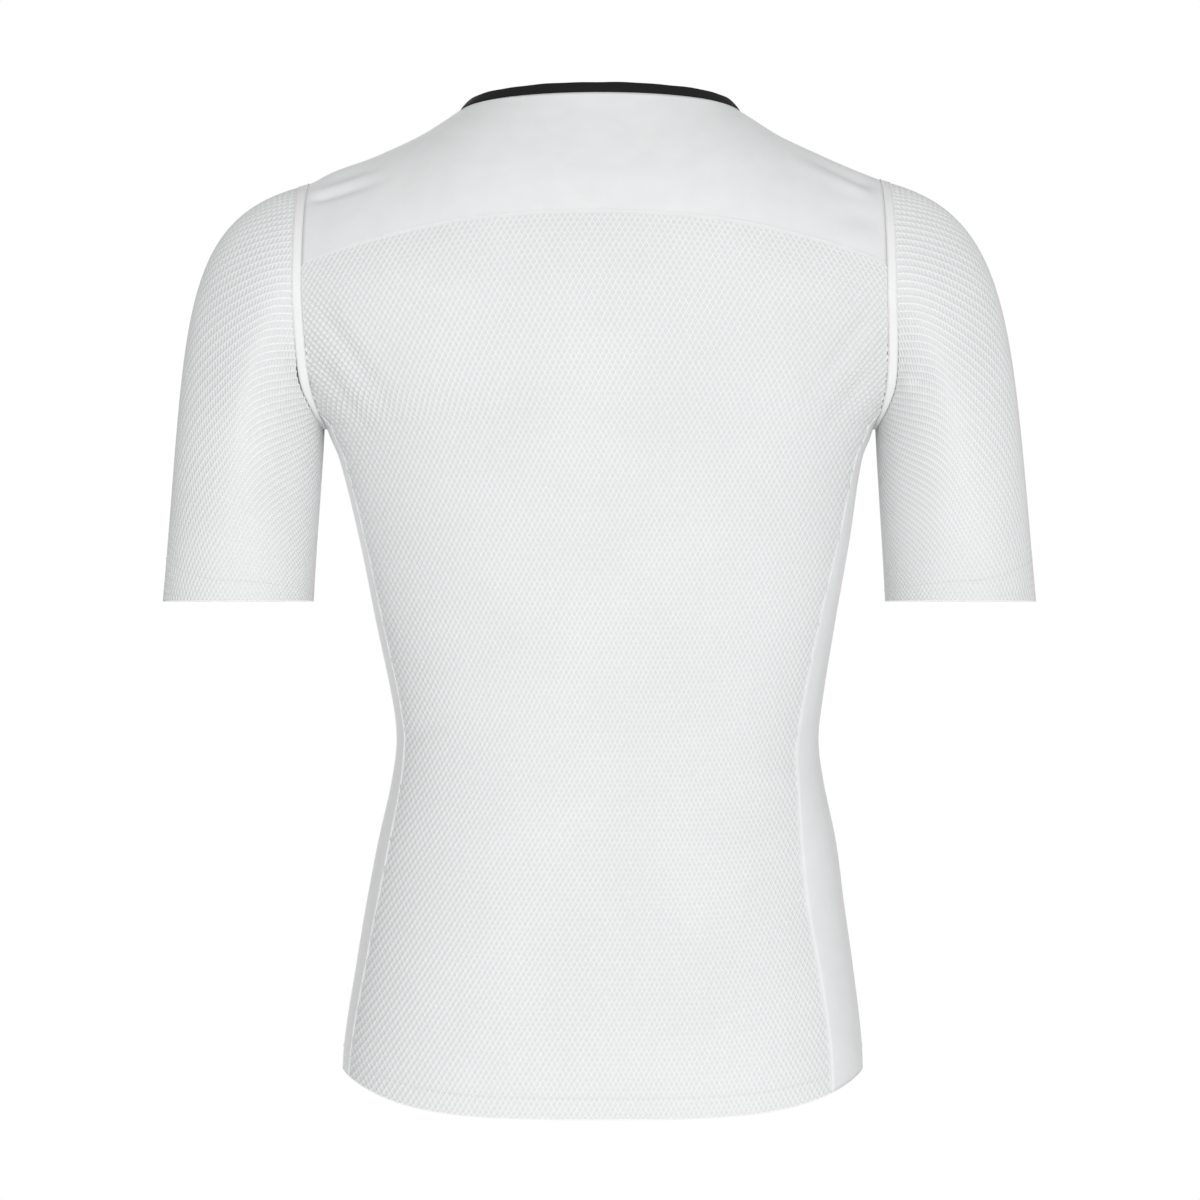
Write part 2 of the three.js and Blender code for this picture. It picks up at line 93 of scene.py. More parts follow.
def curve(keys, values, at):
    # smooth curve through a short table: each span is a cubic with its neighbours' slopes
    x, y = np.array(form[keys], float), np.array(form[values], float)
    at = np.clip(at, x[0], x[-1])
    slopes = np.empty_like(y)
    slopes[1:-1] = (y[2:] - y[:-2]) / (x[2:] - x[:-2])
    slopes[0], slopes[-1] = (y[1] - y[0]) / (x[1] - x[0]), (y[-1] - y[-2]) / (x[-1] - x[-2])
    i = np.clip(np.searchsorted(x, at, side="right") - 1, 0, len(x) - 2)
    span = x[i + 1] - x[i]
    t = (at - x[i]) / span
    rise = y[i] * (2 * t**3 - 3 * t**2 + 1) + y[i + 1] * (3 * t**2 - 2 * t**3)
    return rise + span * (slopes[i] * (t**3 - 2 * t**2 + t) + slopes[i + 1] * (t**3 - t**2))


def bezier(a, b, c, d, t):
    # cubic from a to d, pulled towards b and then c
    return (1 - t)**3 * a + 3 * (1 - t)**2 * t * b + 3 * (1 - t) * t * t * c + t**3 * d


def sectionAt(z, back):
    # body ring at a height: edge half-width, ring half-width, depth and power of the oval
    power = mix(form["lowPower"], form["highPower"], smooth(form["roundFromZ"], form["wideZ"], z))
    depth = curve("bodyZ", "back" if back else "front", z)
    fall = np.clip((form["wideZ"] - z) / form["armholeDrop"], 0, 1)
    cut = (form["armholeBack"] if back else form["armholeFront"]) * np.sqrt(1 - fall * fall) / depth
    low = curve("bodyZ", "halfWidth", z)
    edge = np.where(z <= form["underarmZ"], low, curve("edgeZ", "edge", z))
    ring = np.where(z <= form["underarmZ"], low, edge / (1 - cut**power)**(1 / power))
    return edge, ring, depth, power


def ringPoint(column, z, back):
    # superellipse: depth = full depth * (1 - out^n)^(1/n)
    edge, ring, depth, power = sectionAt(z, back)
    out = np.minimum(1, np.abs(column) * edge / ring)
    y = depth * (1 - out**power)**(1 / power)
    x = curve("bodyZ", "middle", z) + column * edge
    return np.stack(np.broadcast_arrays(x, y if back else -y, z), -1)


def neckPoint(angle):
    # neck edge: two half ellipses in plan, rising a little behind and dipping as sin^1.5 in front
    s = np.sin(angle)
    y = np.where(s > 0, (form["neckBackY"] - form["shoulderY"]) * s,
                 (form["shoulderY"] - form["neckFrontY"]) * s)
    z = form["shoulderZ"][0] + np.where(s > 0, form["neckRise"] * s, -form["neckDrop"] * np.abs(s)**1.5)
    return np.stack([form["neckHalf"] * np.cos(angle), form["shoulderY"] + y, z], -1)


def upperPoint(column, t, back):
    # each column is a cubic from upright at chest height to the shoulder line or neck edge
    side = 1 if back else -1
    start = ringPoint(column, np.full_like(column, form["wideZ"]), back)
    along = np.clip((np.abs(column) - neckColumn) / (1 - neckColumn), 0, 1)
    tip = form["halfWidth"][-1] + form["middle"][-1] * np.sign(column)
    x = mix(form["neckHalf"], tip, along) * np.sign(column)
    angle = side * np.arccos(np.clip(column / neckColumn, -1, 1))
    line = curve("shoulderOut", "shoulderZ", np.abs(x))
    shoulder = np.stack([x, np.full_like(x, form["shoulderY"]), line], -1)
    inNeck = np.abs(column) < neckColumn
    end = np.where(inNeck[..., None], neckPoint(angle), shoulder)
    slope = np.radians(form["neckSlopeBack"] if back else form["neckSlopeFront"])
    steep = slope * np.where(inNeck, np.abs(np.sin(angle)), 0)
    rise, run = end[..., 2] - start[..., 2], np.abs(start[..., 1] - end[..., 1])
    reach = form["upperReach"] * np.hypot(rise, run)
    y = bezier(start[..., 1], start[..., 1], end[..., 1] + side * reach * np.cos(steep), end[..., 1], t)
    z = bezier(start[..., 2], start[..., 2] + form["upperRise"] * rise,
               end[..., 2] - reach * np.sin(steep), end[..., 2], t)
    return np.stack([mix(start[..., 0], end[..., 0], t * t * (3 - 2 * t)), y, z], -1)


def upperAtHeight(column, z, back):
    # the share along each column's cubic at which it reaches a height, by halving
    low, high = np.zeros_like(column), np.ones_like(column)
    for _ in range(30):
        half = (low + high) / 2
        below = upperPoint(column, half, back)[..., 2] < z
        low, high = np.where(below, half, low), np.where(below, high, half)
    return (low + high) / 2


def bodyPoint(column, z, back):
    # the ring up to the widest height, and the cubics above it
    upper = upperPoint(column, upperAtHeight(column, z, back), back)
    ring = ringPoint(column, np.minimum(z, form["wideZ"]), back)
    return np.where((z <= form["wideZ"])[..., None], ring, upper)


def yokeSeamAt(column):
    # arched seam: highest at the middle, falling as out^2.2
    return form["yokeZ"] - form["yokeFall"] * np.abs(column)**form["yokePower"]


def hemAt(column, back):
    # hem height: lowest at the middle and eased up to the sides
    away = np.sqrt(np.clip(1 - column * column, 0, 1))
    drop = form["hemDropBack"] if back else form["hemDropFront"]
    return form["hemSideZ"] - drop * smooth(0.08, 0.98, away)


def sideSeamColumn(z, back, left):
    # where the side seam runs: the cosine of its angle round the body, closing at the underarm
    low = np.minimum(z, form["underarmZ"])
    leftEdge = curve("seamZ", "seamLeftBack" if back else "seamFront", low)
    rightEdge = curve("seamZ", "seamRightBack" if back else "seamFront", low)
    below = np.cos(np.radians(np.where(left, leftEdge, rightEdge)))
    rise = (z - form["underarmZ"]) / (form["cornerZ"] - form["underarmZ"])
    return np.where(z <= form["underarmZ"], below, mix(below, 1, rise))


def lowerPanel(share, v, back):
    # a panel from hem to underarm corner, between its two side seams
    z = mix(hemAt(share, back), form["cornerZ"], v)
    column = share * sideSeamColumn(z, back, share > 0)
    z = mix(hemAt(column, back), form["cornerZ"], v)
    return ringPoint(column, z, back)


def backSurface(u, v):
    column = 2 * u - 1
    corner = rowShare["backCorner"]
    upperV = np.clip((v - corner) / rowShare["upper"], 0, 1)
    high = bodyPoint(column, mix(form["cornerZ"], yokeSeamAt(column), upperV), True)
    low = lowerPanel(column, np.clip(v / corner, 0, 1), True)
    return np.where((v <= corner)[..., None], low, high)


def yokeSurface(u, v):
    column = 2 * u - 1
    return upperPoint(column, mix(upperAtHeight(column, yokeSeamAt(column), True), 1, v), True)


def frontSurface(u, v):
    column = 2 * u - 1
    corner, wide = rowShare["frontCorner"], rowShare["frontWide"]
    low = lowerPanel(column, np.clip(v / corner, 0, 1), False)
    chestV = np.clip((v - corner) / rowShare["chest"], 0, 1)
    chest = ringPoint(column, mix(form["cornerZ"], form["wideZ"], chestV), False)
    high = upperPoint(column, np.clip((v - wide) / rowShare["upper"], 0, 1), False)
    return np.where((v <= corner)[..., None], low, np.where((v <= wide)[..., None], chest, high))


def sideSurface(left):
    # gore between the two side seams: the body ring read by depth, under the armhole's curve
    side = 1 if left else -1

    def half(u, v, back):
        share = np.abs(1 - 2 * u)
        seam = lowerPanel(np.full_like(u, side), v, back)
        y = share * np.abs(seam[..., 1])
        widest = form["armholeBack"] if back else form["armholeFront"]
        drop, power = form["armholeDrop"], form["lowPower"]
        top = widest * np.sqrt(1 - ((form["wideZ"] - form["cornerZ"]) / drop)**2)
        topZ = form["wideZ"] - drop * np.sqrt(1 - (share * top / widest)**2)
        hemDepthY = form["back" if back else "front"][0]
        hemSeamY = np.abs(lowerPanel(np.full_like(u, side), np.zeros_like(u), back)[..., 1])

        def bottomAt(part):
            return hemAt((1 - (part * hemSeamY / hemDepthY)**power)**(1 / power), back)

        meet = seam[..., 2] - mix(bottomAt(1), form["cornerZ"], v)
        z = mix(bottomAt(share), topZ, v) + share * meet
        _, ring, depth, ringPower = sectionAt(z, back)
        out = ring * (1 - np.minimum(1, y / depth)**ringPower)**(1 / ringPower)
        return np.stack([curve("bodyZ", "middle", z) + side * out, y if back else -y, z], -1)

    return lambda u, v: np.where((u < 0.5)[..., None], half(u, v, True), half(u, v, False))


def armholeEdge(left, count):
    # the body's edge round one armhole, from the shoulder down the back and up the front
    e = 1.0 if left else 0.0
    run = np.linspace(0, 1, count)
    corner, wide = rowShare["frontCorner"], rowShare["frontWide"]

    def at(surface, v):
        return surface(np.full_like(v, e), v)

    points = np.concatenate([at(yokeSurface, 1 - run),
                             at(backSurface, 1 - rowShare["upper"] * run)[1:],
                             sideSurface(left)(run, np.ones_like(run))[1:],
                             at(frontSurface, mix(corner, wide, run))[1:],
                             at(frontSurface, mix(wide, 1, run))[1:-1]])
    height = points[:, 2] - form["wideZ"]
    widest = np.where(points[:, 1] > 0, form["armholeBack"], form["armholeFront"])
    reach = np.where(height > 0, form["armholeRise"], form["armholeDrop"])
    shift = np.where(height > 0, form["shoulderY"] * smooth(0, 1, height / reach), 0)
    turn = np.unwrap(np.arctan2((points[:, 1] - shift) / widest, height / reach))
    return points, turn


sleeveLines = {  # out, side, down, start reach, end reach and flare: top, front and back, underarm
    "top": [0.968, 0, 0.25, 87, 179, 0.093],
    "side": [0.72, 0.1, 0.69, 62, 80, 0.04],
    "under": [0.03, 0, 1, 26, 40, 0.05],
}
cuff = {"out": 240.2, "halfWidth": 50, "halfDepth": 52, "shift": 0.4, "z": -329.5}
tape = {  # seam band: width under the arm and over the shoulder, the heights between, and its fall
    "narrow": 2.4, "wide": 6, "narrowZ": -215, "wideZ": -185, "fall": 0.3,
    "from": -0.12, "to": 1.14, "columns": 9, "crown": 0.5, "edge": 0.9, "long": 480, "across": 7,
}


def seamAcross(points, turn, side):
    # the band's width as a vector: straight out, and falling a little over the shoulder
    c = np.cos(turn)
    width = mix(tape["narrow"], tape["wide"], smooth(tape["narrowZ"], tape["wideZ"], points[:, 2]))
    return np.stack([side * width, 0 * c, -tape["fall"] * np.maximum(0, c) * width], -1)


def sleeveSurface(left):
    # each line runs as a cubic from the seam band to the cuff's ellipse, mixed from three lines
    # by the squares of the turn's sine and cosine
    side = 1 if left else -1
    points, turn = armholeEdge(left, 60)
    start = points + seamAcross(points, turn, side)
    # even the loop out by its length, and close it
    ring = np.concatenate([start, start[:1]])
    turns = np.concatenate([turn, [turn[0] + 2 * np.pi]])
    length = np.concatenate([[0], np.cumsum(np.linalg.norm(np.diff(ring, axis=0), axis=1))])
    length /= length[-1]

    def at(u, v):
        u = np.mod(u, 1)
        first = np.stack([np.interp(u, length, ring[:, k]) for k in range(3)], -1)
        a = np.interp(u, length, turns)
        c = np.cos(a)
        top, under = np.where(c > 0, c * c, 0), np.where(c < 0, c * c, 0)
        line = [top * p + under * q + (1 - c * c) * r for p, r, q in zip(*sleeveLines.values())]
        out, across, down, startReach, endReach, flare = line
        across = across * np.sign(np.sin(a))
        size = startReach / np.sqrt(out**2 + across**2 + down**2)
        end = np.stack([side * (cuff["out"] + cuff["halfWidth"] * c) + cuff["shift"],
                        cuff["halfDepth"] * np.sin(a), np.full_like(a, cuff["z"])], -1)
        b = first + np.stack([side * out, across, -down], -1) * size[..., None]
        e = end + np.stack([-side * flare, 0 * c, 1 + 0 * c], -1) * endReach[..., None]
        return bezier(first, b, e, end, v[..., None])

    return at


creases = {  # from x, z to x, z; half-width and depth of the trough; seen from behind
    "leftShoulderHigh": [200, -58, 143, -45, 3.6, 4.2],
    "leftShoulderLow": [201, -69, 138, -56, 3.4, 3.2],
    "rightShoulder": [-194, -62, -124, -32, 4.2, 3.4],
    "rightYoke": [-194, -84, -140, -78, 7.0, 1.2],
    "leftDragHigh": [192, -128, 130, -214, 5.5, 1.6],
    "leftDragLow": [190, -165, 142, -232, 4.5, 1.2],
    "rightDragHigh": [-184, -134, -128, -205, 5.5, 1.5],
    "rightDragLow": [-182, -172, -140, -226, 4.5, 1.1],
    "rightSleeve": [-197, -190, -222, -180, 3.5, 2.0],
    "leftSleeve": [204, -168, 190, -196, 3.5, 1.8],
    "waistLeft": [138, -420, 92, -408, 6.0, 0.9],
    "waistRight": [-146, -436, -98, -428, 6.5, 0.8],
}


def sampled(surface, columns, rows, closed=False, rounded=False):
    # a surface as a table of points and outward normals, with the creases pressed in
    u, v = np.meshgrid(np.linspace(0, 1, columns), np.linspace(0, 1, rows), indexing="ij")
    p = surface(u, v)
    if rounded:
        # ease the turn in the form beside the neck; the panel's own side edges stay
        hold = smooth(0, 0.06, np.minimum(u, 1 - u))[1:-1, :, None]
        for _ in range(14):
            p[1:-1] += 0.25 * hold * (p[2:] + p[:-2] - 2 * p[1:-1])
    du, dv = np.gradient(p, axis=0), np.gradient(p, axis=1)
    if closed:
        du[0] = du[-1] = p[1] - p[-2]
    n = np.cross(du, dv)
    n /= np.linalg.norm(n, axis=-1, keepdims=True) + 1e-9
    # normals point away from the piece's own middle
    centre = p.mean((0, 1)) if closed else np.array([0, 0, p[..., 2].mean()])
    if np.sum(n * (p - centre)) < 0:
        n = -n
    facing = np.sign(p[..., 1] - form["shoulderY"])
    for x0, z0, x1, z1, width, depth in creases.values():
        line = np.array([x1 - x0, z1 - z0], float)
        size = np.linalg.norm(line)
        rel = p[..., [0, 2]] - [x0, z0]
        along = rel @ line / size**2
        away = (rel[..., 0] * line[1] - rel[..., 1] * line[0]) / size
        # a rounded trough with a low ridge beside it, fading in from the seam and out at its end
        fade = smooth(0.1, 0.34, along) * (1 - smooth(0.35, 1.1, along))
        strength = np.where(facing > 0, 1.0, 0.8)
        trough = np.exp(-(away / width)**2) - 0.45 * np.exp(-((away - 2.2 * width) / width)**2)
        p = p - n * (depth * strength * fade * trough)[..., None]
    return p, n


def lookUp(table, u, v):
    # bilinear reading of a table at shares u and v
    nu, nv = table.shape[0] - 1, table.shape[1] - 1
    a, b = np.clip(u, 0, 1) * nu, np.clip(v, 0, 1) * nv
    i, j = np.minimum(a.astype(int), nu - 1), np.minimum(b.astype(int), nv - 1)
    s, t = (a - i)[..., None], (b - j)[..., None]
    low = mix(table[i, j], table[i + 1, j], s)
    high = mix(table[i, j + 1], table[i + 1, j + 1], s)
    return mix(low, high, t)


def makeMesh(name, points, faces, material, uv=None, relief=None):
    mesh = bpy.data.meshes.new(name)
    mesh.from_pydata((points * mm).tolist(), [], faces)
    mesh.validate()
    if uv is not None:
        layer = mesh.uv_layers.new(name="cloth")
        loops = np.empty(len(mesh.loops), np.int32)
        mesh.loops.foreach_get("vertex_index", loops)
        layer.data.foreach_set("uv", uv[loops].astype(np.float32).ravel())
    if relief is not None:
        data = mesh.attributes.new("relief", "FLOAT", "POINT")
        data.data.foreach_set("value", relief.astype(np.float32))
    mesh.shade_smooth()
    mesh.materials.append(material)
    piece = bpy.data.objects.new(name, mesh)
    bpy.context.scene.collection.objects.link(piece)
    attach(piece, "root")
    return piece


def gridFaces(nu, nv, flip=False):
    i, j = np.meshgrid(np.arange(nu - 1), np.arange(nv - 1), indexing="ij")
    a = (i * nv + j).ravel()
    quads = np.stack([a, a + nv, a + nv + 1, a + 1], -1)
    return (quads[:, ::-1] if flip else quads).tolist()


def faceOut(piece, p, n):
    # turn the piece's faces over when they look against the form's normals
    first = piece.data.polygons[len(piece.data.polygons) // 2]
    near = np.argmin(np.linalg.norm(p.reshape(-1, 3) * mm - np.array(first.center), axis=1))
    if Vector(n.reshape(-1, 3)[near]).dot(first.normal) < 0:
        piece.data.flip_normals()


def clothSizes(p):
    # cut size of a panel from its form: widest row, longest column and whole area
    du = np.linalg.norm(np.diff(p, axis=0), axis=-1)
    dv = np.linalg.norm(np.diff(p, axis=1), axis=-1)
    a, b = p[1:, 1:] - p[:-1, :-1], p[1:, :-1] - p[:-1, 1:]
    area = 0.5 * np.linalg.norm(np.cross(a, b), axis=-1).sum() * 1e-6
    width, length = du.sum(0).max() * mm, dv.sum(1).max() * mm
    return (round(float(width), 4), round(float(length), 4)), min(float(area), width * length)


def smoothPanel(name, surface, material, columns, rows, wall=0.9, rounded=False):
    p, n = sampled(surface, columns, rows, rounded=rounded)
    shares = np.meshgrid(np.linspace(0, 1, columns), np.linspace(0, 1, rows), indexing="ij")
    uv = np.stack(shares, -1)
    size, area = clothSizes(p)
    uv = uv * np.array(size) * 1000
    piece = makeMesh(name, p.reshape(-1, 3), gridFaces(columns, rows), material, uv.reshape(-1, 2))
    faceOut(piece, p, n)
    solid = piece.modifiers.new("wall", "SOLIDIFY")
    solid.thickness, solid.offset = wall * mm, -1
    return piece, p, n


def meshPanel(name, surface, material, pitch, closed=False):
    # open knit: staggered six-sided cells, each a raised border, a slope and a floor
    p, n = sampled(surface, 161, 221, closed, rounded=not closed)
    width = np.linalg.norm(np.diff(p, axis=0), axis=-1).sum(0)
    length = np.linalg.norm(np.diff(p, axis=1), axis=-1).sum(1).mean()
    across, down, depth = pitch["across"], pitch["down"], pitch["depth"]
    widest = width.max() if not closed else np.median(width)
    count = int(round(widest / across))
    rows = int(round(length / (down * 0.5)))
    i, j = np.meshgrid(np.arange(-1, count + 2), np.arange(-1, rows + 2), indexing="ij")
    if closed:
        i, j = np.meshgrid(np.arange(count), np.arange(-1, rows + 2), indexing="ij")
    centre = np.stack([i + 0.5 * (j % 2), 0.5 * j], -1).reshape(-1, 1, 2)
    # corners in cells: sides 1 apart across, point to point down the cloth
    corners = np.array([[0, 0.43], [0.5, 0.07], [0.5, -0.07],
                        [0, -0.43], [-0.5, -0.07], [-0.5, 0.07]])
    outer = centre + corners
    inner = centre + corners * pitch["hole"]
    flat = np.concatenate([outer.reshape(-1, 2), inner.reshape(-1, 2), centre.reshape(-1, 2)])
    cells = len(centre)
    # the floor sits back from the border by the relief depth
    relief = np.concatenate([np.ones(cells * 6), np.full(cells * 6, 0.12), np.zeros(cells)])
    key = np.round(flat * 100).astype(np.int64)
    if closed:
        key[:, 0] = np.mod(key[:, 0], count * 100)
    _, first, index = np.unique(key[:, 0] * 10_000_000 + key[:, 1], return_index=True,
                                return_inverse=True)
    index = index.ravel()
    # rows are even along the cloth, whatever the form's own pace
    run = np.linalg.norm(np.diff(p, axis=1), axis=-1).mean(0)
    run = np.concatenate([[0], np.cumsum(run)]) / run.sum()
    v = np.interp(flat[:, 1] * down / length, run, np.linspace(0, 1, len(run)))
    if closed:
        u = np.mod(flat[:, 0] / count, 1)
    else:
        # columns keep their pitch and are cut off at the seams
        rowWidth = np.interp(v, np.linspace(0, 1, len(width)), width)
        pull = (widest / rowWidth)**pitch["keep"]
        u = np.clip(0.5 + (flat[:, 0] / count - 0.5) * pull, 0, 1)
    points = lookUp(p, u, v)
    # the knit is pulled open, and its cells stand deeper, round the armholes and shoulder tops
    out, height = np.abs(points[:, 0]), points[:, 2]
    armpitPull = np.exp(-((out - 178) / 34)**2 - ((height + 185) / 58)**2)
    shoulderPull = np.exp(-((out - 205) / 26)**2 - ((height + 75) / 36)**2)
    drop = (relief - 1) * depth * (1 + 1.3 * armpitPull + 0.9 * shoulderPull)
    points = points + lookUp(n, u, v) * drop[:, None]
    o = np.arange(cells * 6).reshape(-1, 6)
    q = o + cells * 6
    ring = np.stack([o, np.roll(o, -1, 1), np.roll(q, -1, 1), q], -1).reshape(-1, 4)
    middle = np.repeat(np.arange(cells) + cells * 12, 6).reshape(-1, 6)
    floor = np.stack([q, np.roll(q, -1, 1), middle], -1).reshape(-1, 3)
    lift = np.stack([u, v], -1)

    def kept(faces):
        # drop cells squeezed flat at an edge
        corner = lift[faces]
        same = np.ptp(corner[..., 1], axis=1) < 1e-6
        if not closed:
            same |= np.ptp(corner[..., 0], axis=1) < 1e-6
        return index[faces[~same]]

    quads, fans = kept(ring), kept(floor)
    faces = quads.tolist() + fans.tolist()
    uv = flat * [across, down]
    piece = makeMesh(name, points[first], faces, material, uv[first], relief[first])
    faceOut(piece, p, n)
    print(name, "cells", cells, "faces", len(faces))
    return piece, p, n


def stitches(name, runs, material, spec):
    # each stitch is a small six-pointed grain laid along its line, lifted clear of the cloth
    grains = []
    for line, normal in runs:
        step = np.linalg.norm(np.diff(line, axis=0), axis=1)
        length = np.concatenate([[0], np.cumsum(step)])
        count = max(2, int(length[-1] / spec["every"]))
        at = (np.arange(count) + 0.5) / count * length[-1]
        c = np.stack([np.interp(at, length, line[:, k]) for k in range(3)], -1)
        m = np.stack([np.interp(at, length, normal[:, k]) for k in range(3)], -1)
        ahead = np.stack([np.interp(at + 0.3, length, line[:, k]) for k in range(3)], -1)
        behind = np.stack([np.interp(at - 0.3, length, line[:, k]) for k in range(3)], -1)
        d = ahead - behind
        d /= np.linalg.norm(d, axis=1, keepdims=True) + 1e-9
        s = np.cross(m, d)
        slant = d + s * spec["slant"]
        slant /= np.linalg.norm(slant, axis=1, keepdims=True)
        side = np.cross(m, slant)
        c = c + m * spec["rise"]
        h, w = spec["long"] / 2, spec["thick"] / 2
        grains.append(np.stack([c - slant * h, c + side * w, c + m * w, c - side * w, c - m * w,
                                c + slant * h], 1))
    points = np.concatenate(grains).reshape(-1, 3)
    base = np.arange(len(points) // 6)[:, None, None] * 6
    tips = np.array([[0, 1, 2], [0, 2, 3], [0, 3, 4], [0, 4, 1], [5, 2, 1], [5, 3, 2], [5, 4, 3],
                     [5, 1, 4]])
    piece = makeMesh(name, points, (base + tips[:, ::-1]).reshape(-1, 3).tolist(), material)
    return piece


def newMaterial(name, color, roughness, sheen):
    material = bpy.data.materials.new(name)
    material.use_nodes = True
    shader = material.node_tree.nodes["Principled BSDF"]
    shader.inputs["Base Color"].default_value = (*color, 1)
    shader.inputs["Roughness"].default_value = roughness
    shader.inputs["Sheen Weight"].default_value = sheen
    shader.inputs["Specular IOR Level"].default_value = 0.25
    return material, material.node_tree, shader


def addNode(tree, kind, **values):
    node = tree.nodes.new(kind)
    for key, value in values.items():
        if hasattr(node, key):
            setattr(node, key, value)
        else:
            node.inputs[key.replace("_", " ")].default_value = value
    return node


def bumpFrom(tree, shader, height, strength, distance):
    bump = addNode(tree, "ShaderNodeBump", Strength=strength, Distance=distance)
    tree.links.new(height, bump.inputs["Height"])
    tree.links.new(bump.outputs["Normal"], shader.inputs["Normal"])


def meshKnitMaterial():
    # yarn is brightest on the raised borders; the floor of each cell stands for the thin, open part of
    # the knit and is painted greyer as painted shade, the shadow seen through its holes
    look = {"yarn": (0.93, 0.935, 0.935, 1), "floor": (0.74, 0.75, 0.755, 1), "yarnScale": 2600}
    material, tree, shader = newMaterial("meshKnit", (0.9, 0.9, 0.9), 0.85, 0.12)
    relief = addNode(tree, "ShaderNodeAttribute", attribute_name="relief")
    ramp = addNode(tree, "ShaderNodeValToRGB")
    # the darker floor colour is painted shade, not a grey yarn
    ramp.color_ramp.elements[0].color = look["floor"]
    ramp.color_ramp.elements[0].position = 0.05
    ramp.color_ramp.elements[1].color = look["yarn"]
    ramp.color_ramp.elements[1].position = 0.75
    place = addNode(tree, "ShaderNodeTexCoord")
    soft = addNode(tree, "ShaderNodeTexNoise", Scale=14.0, Detail=2.0)
    tone = addNode(tree, "ShaderNodeMapRange")
    tone.inputs["To Min"].default_value = 0.95
    tone.inputs["To Max"].default_value = 1.03
    shade = addNode(tree, "ShaderNodeMix", data_type="RGBA", blend_type="MULTIPLY")
    shade.inputs["Factor"].default_value = 1
    yarn = addNode(tree, "ShaderNodeTexNoise", Scale=look["yarnScale"], Detail=1.0)
    link = tree.links.new
    link(relief.outputs["Fac"], ramp.inputs["Fac"])
    link(place.outputs["Object"], soft.inputs["Vector"])
    link(place.outputs["Object"], yarn.inputs["Vector"])
    link(soft.outputs["Fac"], tone.inputs["Value"])
    link(ramp.outputs["Color"], shade.inputs["A"])
    link(tone.outputs["Result"], shade.inputs["B"])
    link(shade.outputs["Result"], shader.inputs["Base Color"])
    bumpFrom(tree, shader, yarn.outputs["Fac"], 0.35, 0.0002)
    return material


def jerseyMaterial(name, color, ribs, sheen, strength):
    # fine knit: wales along the cloth and courses across it, on the piece's own map in mm
    material, tree, shader = newMaterial(name, color, 0.72, sheen)
    place = addNode(tree, "ShaderNodeTexCoord")
    wale = addNode(tree, "ShaderNodeTexWave", Scale=ribs, Distortion=0.6, bands_direction="X")
    course = addNode(tree, "ShaderNodeTexWave", Scale=ribs * 1.3, Distortion=0.8,
                     bands_direction="Y")
    both = addNode(tree, "ShaderNodeMath", operation="ADD")
    soft = addNode(tree, "ShaderNodeTexNoise", Scale=0.05, Detail=3.0)
    ramp = addNode(tree, "ShaderNodeValToRGB")
    ramp.color_ramp.elements[0].color = (*[c * 0.95 for c in color], 1)
    ramp.color_ramp.elements[1].color = (*[min(1, c * 1.04) for c in color], 1)
    link = tree.links.new
    for node in (wale, course, soft):
        link(place.outputs["UV"], node.inputs["Vector"])
    link(wale.outputs["Fac"], both.inputs[0])
    link(course.outputs["Fac"], both.inputs[1])
    link(soft.outputs["Fac"], ramp.inputs["Fac"])
    link(ramp.outputs["Color"], shader.inputs["Base Color"])
    bumpFrom(tree, shader, both.outputs["Value"], strength, 0.0001)
    return material


meshKnit = meshKnitMaterial()
plainKnit = jerseyMaterial("plainKnit", (0.84, 0.845, 0.85), 0.5, 0.2, 0.25)
seamTape = jerseyMaterial("seamTape", (0.86, 0.86, 0.86), 0.45, 0.1, 0.4)
neckRib = jerseyMaterial("neckRib", (0.007, 0.007, 0.0075), 0.3, 0.02, 0.6)
thread = jerseyMaterial("thread", (0.93, 0.93, 0.93), 1.0, 0.1, 0.3)
print("materials made")

# cell sizes in mm, the floor's share of a cell, and how far columns hold their pitch
knit = {"across": 4.2, "down": 6.3, "depth": 0.55, "hole": [0.7, 0.8], "keep": 0.55}
sleeveKnit = {"across": 4.7, "down": 6.2, "depth": 0.55, "hole": [0.7, 0.8], "keep": 0}

back, backP, backN = meshPanel("backMesh", backSurface, meshKnit, knit)
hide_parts("back_panel")
front, frontP, frontN = meshPanel("frontMesh", frontSurface, meshKnit, knit)
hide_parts("front_panel")
yoke, yokeP, yokeN = smoothPanel("yokeCloth", yokeSurface, plainKnit, 161, 61, rounded=True)
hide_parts("back_yoke")

edges = []   # folded edges of hem and cuffs
hemRows = []
seamRows = []
hemShare = 13 / 440  # hem depth over the length from hem to underarm
for p, n, part in ((backP, backN, rowShare["backCorner"]), (frontP, frontN, rowShare["frontCorner"])):
    row = int(round(hemShare * part * (p.shape[1] - 1)))
    hemRows.append((p[:, row], n[:, row]))
    edges.append((p[:, 0], n[:, 0]))
seamRows.append((yokeP[:, 1], yokeN[:, 1]))
seamRows.append((yokeP[:, -2], yokeN[:, -2]))

